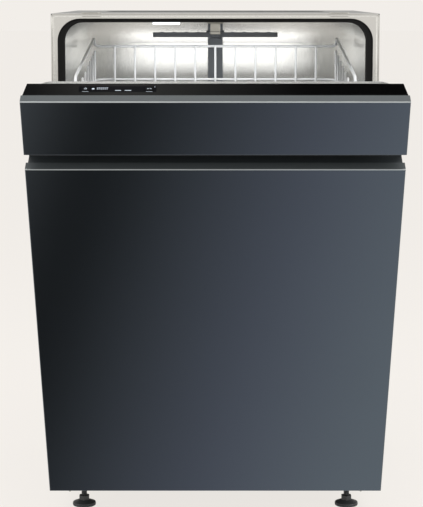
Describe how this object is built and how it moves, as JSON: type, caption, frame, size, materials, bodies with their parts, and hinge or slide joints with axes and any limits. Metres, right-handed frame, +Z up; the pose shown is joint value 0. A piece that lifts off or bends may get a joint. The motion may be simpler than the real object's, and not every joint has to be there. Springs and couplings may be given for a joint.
{
  "type": "fully integrated dishwasher",
  "caption": "Built-in dishwasher with a bottom-hinged steel-fronted door, controls in the door's top edge, pull-out wire racks, spray arms, filter, pumps and adjustable feet.",
  "frame": {"origin": "on the floor, midway across the width and midway between the foremost edge of the ajar door and the rearmost end of the water connectors", "axes": "+X to the right seen from the front, +Y to the back of the machine, +Z up"},
  "size_m": [0.546, 0.955, 0.8475],
  "materials": {
    "door_front": "fine brushed, dark tinted, satin",
    "tub_steel": "bright cold rolled, reflective",
    "liner_steel": "bright cold rolled",
    "zinc_sheet": "galvanised, dull",
    "grip_plastic": "fine grained",
    "fascia_plastic": "polished black",
    "display_glass": "clear over black",
    "key_plastic": "polished",
    "housing_plastic": "moulded",
    "seal_rubber": "matt",
    "base_plastic": "moulded, grained",
    "foot_plastic": "moulded",
    "rack_wire": "nylon coated, satin",
    "rack_plastic": "moulded",
    "spray_plastic": "moulded",
    "rail_steel": "rolled",
    "hinge_steel": "zinc plated",
    "spring_steel": "drawn wire",
    "screw_steel": "zinc plated",
    "filter_mesh": "etched sheet",
    "filter_plastic": "moulded",
    "sump_plastic": "moulded",
    "cap_plastic": "moulded",
    "pump_metal": "cast",
    "softener_plastic": "blow moulded",
    "dispenser_plastic": "moulded",
    "connector_plastic": "moulded",
    "light_lens": "frosted"
  },
  "bodies": {
    "cabinet": {"tub_wrap": "tub_steel", "tub_rear_wall": "tub_steel", "tub_floor": "tub_steel", "tub_front_frame": "tub_steel", "door_seal": "seal_rubber", "interior_light": "light_lens", "latch_striker": "hinge_steel", "rear_duct": "spray_plastic", "upper_rails": "rail_steel", "left_side_panel": "zinc_sheet", "right_side_panel": "zinc_sheet", "rear_panel": "zinc_sheet", "top_cover": "zinc_sheet", "worktop_brackets": "hinge_steel", "casing_screws": "screw_steel", "base_tray": "base_plastic", "sump": "sump_plastic", "filter_plate": "filter_mesh", "water_softener": "softener_plastic", "circulation_pump": "pump_metal", "drain_pump": "pump_metal", "water_inlet_valve": "connector_plastic", "drain_spigot": "connector_plastic", "power_inlet": "housing_plastic", "hinge_brackets": "hinge_steel", "door_springs": "spring_steel"},
    "door": {"hinge_arms": "hinge_steel", "upper_front_panel": "door_front", "lower_front_panel": "door_front", "grip_channel": "grip_plastic", "door_shell": "zinc_sheet", "door_liner": "liner_steel", "door_latch": "housing_plastic", "door_bottom_seal": "seal_rubber", "control_fascia": "fascia_plastic", "display_window": "display_glass", "control_module": "housing_plastic", "detergent_dispenser": "dispenser_plastic"},
    "lower_rack": {"lower_rack_basket": "rack_wire", "lower_rack_handle": "rack_plastic"},
    "upper_rack": {"upper_rack_basket": "rack_wire", "upper_rack_handle": "rack_plastic", "upper_feed_pipe": "spray_plastic"},
    "power_key": {"power_key": "key_plastic"},
    "start_key": {"start_key": "key_plastic"},
    "dispenser_lid": {"dispenser_lid": "dispenser_plastic"},
    "rinse_aid_cap": {"rinse_aid_cap": "cap_plastic"},
    "folding_tines": {"folding_tines": "rack_wire"},
    "front_wheels": {"front_wheels": "rack_plastic"},
    "rear_wheels": {"rear_wheels": "rack_plastic"},
    "cup_shelf": {"cup_shelf": "rack_wire"},
    "upper_spray_arm": {"upper_spray_arm": "spray_plastic"},
    "rail_slides": {"rail_slides": "rail_steel"},
    "lower_spray_arm": {"lower_spray_arm": "spray_plastic"},
    "ceiling_spray_arm": {"ceiling_spray_arm": "spray_plastic"},
    "filter_cylinder": {"filter_cylinder": "filter_plastic"},
    "salt_cap": {"salt_cap": "cap_plastic"},
    "front_foot_left": {"front_foot_left": "foot_plastic"},
    "front_foot_right": {"front_foot_right": "foot_plastic"},
    "rear_feet": {"rear_feet": "foot_plastic"}
  },
  "joints": [
    {"name": "door_hinge", "type": "hinge", "parent": "cabinet", "child": "door", "pos_m": [0, -0.09147, 0.118], "axis": [1, 0, 0], "range_deg": [-28, 62], "stiffness_Nm_per_rad": 30, "springref_deg": -28, "deforming": ["door_springs"]},
    {"name": "power_key_press", "type": "slide", "parent": "door", "child": "power_key", "axis": [0, 0.4695, -0.8829], "range_m": [0, 0.001], "stiffness_N_per_m": 600, "springref_m": -0.001},
    {"name": "start_key_press", "type": "slide", "parent": "door", "child": "start_key", "axis": [0, 0.4695, -0.8829], "range_m": [0, 0.001], "stiffness_N_per_m": 600, "springref_m": -0.001},
    {"name": "dispenser_lid_hinge", "type": "hinge", "parent": "door", "child": "dispenser_lid", "pos_m": [0, -0.24735, 0.45077], "axis": [-1, 0, 0], "range_deg": [0, 100]},
    {"name": "rinse_aid_cap_turn", "type": "hinge", "parent": "door", "child": "rinse_aid_cap", "pos_m": [0.036, -0.26936, 0.48664], "axis": [0, 0.8829, 0.4695], "range_deg": [0, 90]},
    {"name": "lower_rack_slide", "type": "slide", "parent": "cabinet", "child": "lower_rack", "axis": [0, -1, 0], "range_m": [-0.0636, 0.1408]},
    {"name": "upper_rack_slide", "type": "slide", "parent": "cabinet", "child": "upper_rack", "axis": [0, -1, 0], "range_m": [-0.1418, 0.3139]},
    {"name": "rail_slide", "type": "slide", "parent": "cabinet", "child": "rail_slides", "axis": [0, -1, 0], "range_m": [-0.071, 0.157]},
    {"name": "front_wheels_roll", "type": "hinge", "parent": "lower_rack", "child": "front_wheels", "pos_m": [0, 0.067, 0.155], "axis": [1, 0, 0], "range_deg": [-249, 550]},
    {"name": "rear_wheels_roll", "type": "hinge", "parent": "lower_rack", "child": "rear_wheels", "pos_m": [0, 0.322, 0.155], "axis": [1, 0, 0], "range_deg": [-249, 550]},
    {"name": "folding_tines_hinge", "type": "hinge", "parent": "lower_rack", "child": "folding_tines", "pos_m": [0, 0.28232, 0.187], "axis": [1, 0, 0], "range_deg": [0, 80]},
    {"name": "cup_shelf_hinge", "type": "hinge", "parent": "upper_rack", "child": "cup_shelf", "pos_m": [-0.207, 0.00581, 0.715], "axis": [0, -1, 0], "range_deg": [0, 85]},
    {"name": "upper_spray_arm_spin", "type": "hinge", "parent": "upper_rack", "child": "upper_spray_arm", "pos_m": [0, 0.03731, 0.598], "axis": [0, 0, 1], "continuous": true},
    {"name": "lower_spray_arm_spin", "type": "hinge", "parent": "cabinet", "child": "lower_spray_arm", "pos_m": [0, 0.20553, 0.152], "axis": [0, 0, 1], "continuous": true},
    {"name": "ceiling_spray_arm_spin", "type": "hinge", "parent": "cabinet", "child": "ceiling_spray_arm", "pos_m": [0, 0.17903, 0.802], "axis": [0, 0, 1], "continuous": true},
    {"name": "filter_turn", "type": "hinge", "parent": "cabinet", "child": "filter_cylinder", "pos_m": [0, 0.08053, 0.14], "axis": [0, 0, 1], "range_deg": [0, 60]},
    {"name": "salt_cap_turn", "type": "hinge", "parent": "cabinet", "child": "salt_cap", "pos_m": [-0.15, 0.31553, 0.143], "axis": [0, 0, 1], "range_deg": [0, 90]},
    {"name": "front_foot_left_height", "type": "slide", "parent": "cabinet", "child": "front_foot_left", "axis": [0, 0, 1], "range_m": [-0.025, 0.02]},
    {"name": "front_foot_right_height", "type": "slide", "parent": "cabinet", "child": "front_foot_right", "axis": [0, 0, 1], "range_m": [-0.025, 0.02]},
    {"name": "rear_feet_height", "type": "slide", "parent": "cabinet", "child": "rear_feet", "axis": [0, 0, 1], "range_m": [-0.025, 0.02]}
  ],
  "couplings": [
    {"joint": "lower_rack_slide", "follows": "door_hinge", "m_per_rad": 0.13},
    {"joint": "upper_rack_slide", "follows": "door_hinge", "m_per_rad": 0.29},
    {"joint": "rail_slide", "follows": "door_hinge", "m_per_rad": 0.145},
    {"joint": "front_wheels_roll", "follows": "door_hinge", "ratio": 8.8435},
    {"joint": "rear_wheels_roll", "follows": "door_hinge", "ratio": 8.8435}
  ]
}
